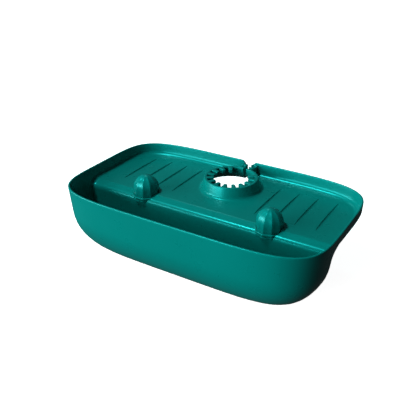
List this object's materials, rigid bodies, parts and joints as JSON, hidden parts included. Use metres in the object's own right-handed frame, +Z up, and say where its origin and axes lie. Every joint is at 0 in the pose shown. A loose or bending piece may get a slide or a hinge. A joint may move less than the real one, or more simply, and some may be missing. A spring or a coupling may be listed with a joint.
{
  "type": "tap splash guard",
  "caption": "Silicone splash guard for a kitchen tap: drain deck with a toothed slit collar, clasp, deep sponge trough and two fluted knobs.",
  "frame": {"origin": "on the tap's axis, in the plane of the sink ledge that the deck's underside lies on", "axes": "+X to the user's right along the sink, +Y to the wall behind the sink, +Z up"},
  "size_m": [0.37, 0.219, 0.1052],
  "materials": {
    "tray_silicone": "satin moulded",
    "knob_silicone": "satin moulded"
  },
  "bodies": {
    "base": {"sponge_trough": "tray_silicone", "front_sill": "tray_silicone", "drain_deck": "tray_silicone", "collar_front": "tray_silicone"},
    "left_flap": {"left_flap": "tray_silicone", "collar_left": "tray_silicone"},
    "right_flap": {"right_flap": "tray_silicone", "collar_right": "tray_silicone", "clasp_socket": "tray_silicone"},
    "clasp_tongue": {"clasp_tongue": "tray_silicone"},
    "left_knob": {"left_knob": "knob_silicone"},
    "right_knob": {"right_knob": "knob_silicone"},
    "collar_tooth_1": {"collar_tooth_1": "tray_silicone"},
    "collar_tooth_2": {"collar_tooth_2": "tray_silicone"},
    "collar_tooth_3": {"collar_tooth_3": "tray_silicone"},
    "collar_tooth_4": {"collar_tooth_4": "tray_silicone"},
    "collar_tooth_5": {"collar_tooth_5": "tray_silicone"},
    "collar_tooth_6": {"collar_tooth_6": "tray_silicone"},
    "collar_tooth_7": {"collar_tooth_7": "tray_silicone"},
    "collar_tooth_8": {"collar_tooth_8": "tray_silicone"},
    "collar_tooth_9": {"collar_tooth_9": "tray_silicone"},
    "collar_tooth_10": {"collar_tooth_10": "tray_silicone"},
    "collar_tooth_11": {"collar_tooth_11": "tray_silicone"},
    "collar_tooth_12": {"collar_tooth_12": "tray_silicone"},
    "collar_tooth_13": {"collar_tooth_13": "tray_silicone"}
  },
  "joints": [
    {"name": "left_flap_fold", "type": "hinge", "parent": "base", "child": "left_flap", "pos_m": [-0.0335, 0.0011, 0], "axis": [-0.8223, 0.5691, 0], "range_deg": [0, 40], "stiffness_Nm_per_rad": 3},
    {"name": "right_flap_fold", "type": "hinge", "parent": "base", "child": "right_flap", "pos_m": [0.0335, 0.0011, 0], "axis": [-0.8223, -0.5691, 0], "range_deg": [0, 40], "stiffness_Nm_per_rad": 3},
    {"name": "clasp_tongue_reach", "type": "slide", "parent": "left_flap", "child": "clasp_tongue", "axis": [1, 0, 0], "range_m": [0, 0.0096], "stiffness_N_per_m": 150},
    {"name": "left_knob_lift", "type": "slide", "parent": "base", "child": "left_knob", "axis": [0, 0, 1], "range_m": [0, 0.03]},
    {"name": "right_knob_lift", "type": "slide", "parent": "base", "child": "right_knob", "axis": [0, 0, 1], "range_m": [0, 0.03]},
    {"name": "collar_tooth_1_bend", "type": "hinge", "parent": "left_flap", "child": "collar_tooth_1", "pos_m": [-0.0168, 0.02852, 0.0185], "axis": [-0.8616, -0.5075, 0], "range_deg": [0, 40], "stiffness_Nm_per_rad": 0.02},
    {"name": "collar_tooth_2_bend", "type": "hinge", "parent": "left_flap", "child": "collar_tooth_2", "pos_m": [-0.02662, 0.01967, 0.0185], "axis": [-0.5941, -0.8044, 0], "range_deg": [0, 40], "stiffness_Nm_per_rad": 0.02},
    {"name": "collar_tooth_3_bend", "type": "hinge", "parent": "left_flap", "child": "collar_tooth_3", "pos_m": [-0.0322, 0.00767, 0.0185], "axis": [-0.2317, -0.9728, 0], "range_deg": [0, 40], "stiffness_Nm_per_rad": 0.02},
    {"name": "collar_tooth_4_bend", "type": "hinge", "parent": "base", "child": "collar_tooth_4", "pos_m": [-0.03263, -0.00555, 0.0185], "axis": [0.1676, -0.9858, 0], "range_deg": [0, 40], "stiffness_Nm_per_rad": 0.02},
    {"name": "collar_tooth_5_bend", "type": "hinge", "parent": "base", "child": "collar_tooth_5", "pos_m": [-0.02785, -0.01788, 0.0185], "axis": [0.5402, -0.8415, 0], "range_deg": [0, 40], "stiffness_Nm_per_rad": 0.02},
    {"name": "collar_tooth_6_bend", "type": "hinge", "parent": "base", "child": "collar_tooth_6", "pos_m": [-0.01863, -0.02736, 0.0185], "axis": [0.8266, -0.5628, 0], "range_deg": [0, 40], "stiffness_Nm_per_rad": 0.02},
    {"name": "collar_tooth_7_bend", "type": "hinge", "parent": "base", "child": "collar_tooth_7", "pos_m": [-0.00643, -0.03247, 0.0185], "axis": [0.981, -0.1942, 0], "range_deg": [0, 40], "stiffness_Nm_per_rad": 0.02},
    {"name": "collar_tooth_8_bend", "type": "hinge", "parent": "base", "child": "collar_tooth_8", "pos_m": [0.0068, -0.03239, 0.0185], "axis": [0.9787, 0.2053, 0], "range_deg": [0, 40], "stiffness_Nm_per_rad": 0.02},
    {"name": "collar_tooth_9_bend", "type": "hinge", "parent": "base", "child": "collar_tooth_9", "pos_m": [0.01894, -0.02715, 0.0185], "axis": [0.8201, 0.5721, 0], "range_deg": [0, 40], "stiffness_Nm_per_rad": 0.02},
    {"name": "collar_tooth_10_bend", "type": "hinge", "parent": "base", "child": "collar_tooth_10", "pos_m": [0.02806, -0.01756, 0.0185], "axis": [0.5307, 0.8476, 0], "range_deg": [0, 40], "stiffness_Nm_per_rad": 0.02},
    {"name": "collar_tooth_11_bend", "type": "hinge", "parent": "base", "child": "collar_tooth_11", "pos_m": [0.03269, -0.00518, 0.0185], "axis": [0.1564, 0.9877, 0], "range_deg": [0, 40], "stiffness_Nm_per_rad": 0.02},
    {"name": "collar_tooth_12_bend", "type": "hinge", "parent": "right_flap", "child": "collar_tooth_12", "pos_m": [0.03211, 0.00804, 0.0185], "axis": [-0.2428, 0.9701, 0], "range_deg": [0, 40], "stiffness_Nm_per_rad": 0.02},
    {"name": "collar_tooth_13_bend", "type": "hinge", "parent": "right_flap", "child": "collar_tooth_13", "pos_m": [0.0264, 0.01997, 0.0185], "axis": [-0.6032, 0.7976, 0], "range_deg": [0, 40], "stiffness_Nm_per_rad": 0.02}
  ],
  "couplings": [
    {"joint": "collar_tooth_2_bend", "follows": "collar_tooth_1_bend", "ratio": 1},
    {"joint": "collar_tooth_3_bend", "follows": "collar_tooth_1_bend", "ratio": 1},
    {"joint": "collar_tooth_4_bend", "follows": "collar_tooth_1_bend", "ratio": 1},
    {"joint": "collar_tooth_5_bend", "follows": "collar_tooth_1_bend", "ratio": 1},
    {"joint": "collar_tooth_6_bend", "follows": "collar_tooth_1_bend", "ratio": 1},
    {"joint": "collar_tooth_7_bend", "follows": "collar_tooth_1_bend", "ratio": 1},
    {"joint": "collar_tooth_8_bend", "follows": "collar_tooth_1_bend", "ratio": 1},
    {"joint": "collar_tooth_9_bend", "follows": "collar_tooth_1_bend", "ratio": 1},
    {"joint": "collar_tooth_10_bend", "follows": "collar_tooth_1_bend", "ratio": 1},
    {"joint": "collar_tooth_11_bend", "follows": "collar_tooth_1_bend", "ratio": 1},
    {"joint": "collar_tooth_12_bend", "follows": "collar_tooth_1_bend", "ratio": 1},
    {"joint": "collar_tooth_13_bend", "follows": "collar_tooth_1_bend", "ratio": 1}
  ]
}
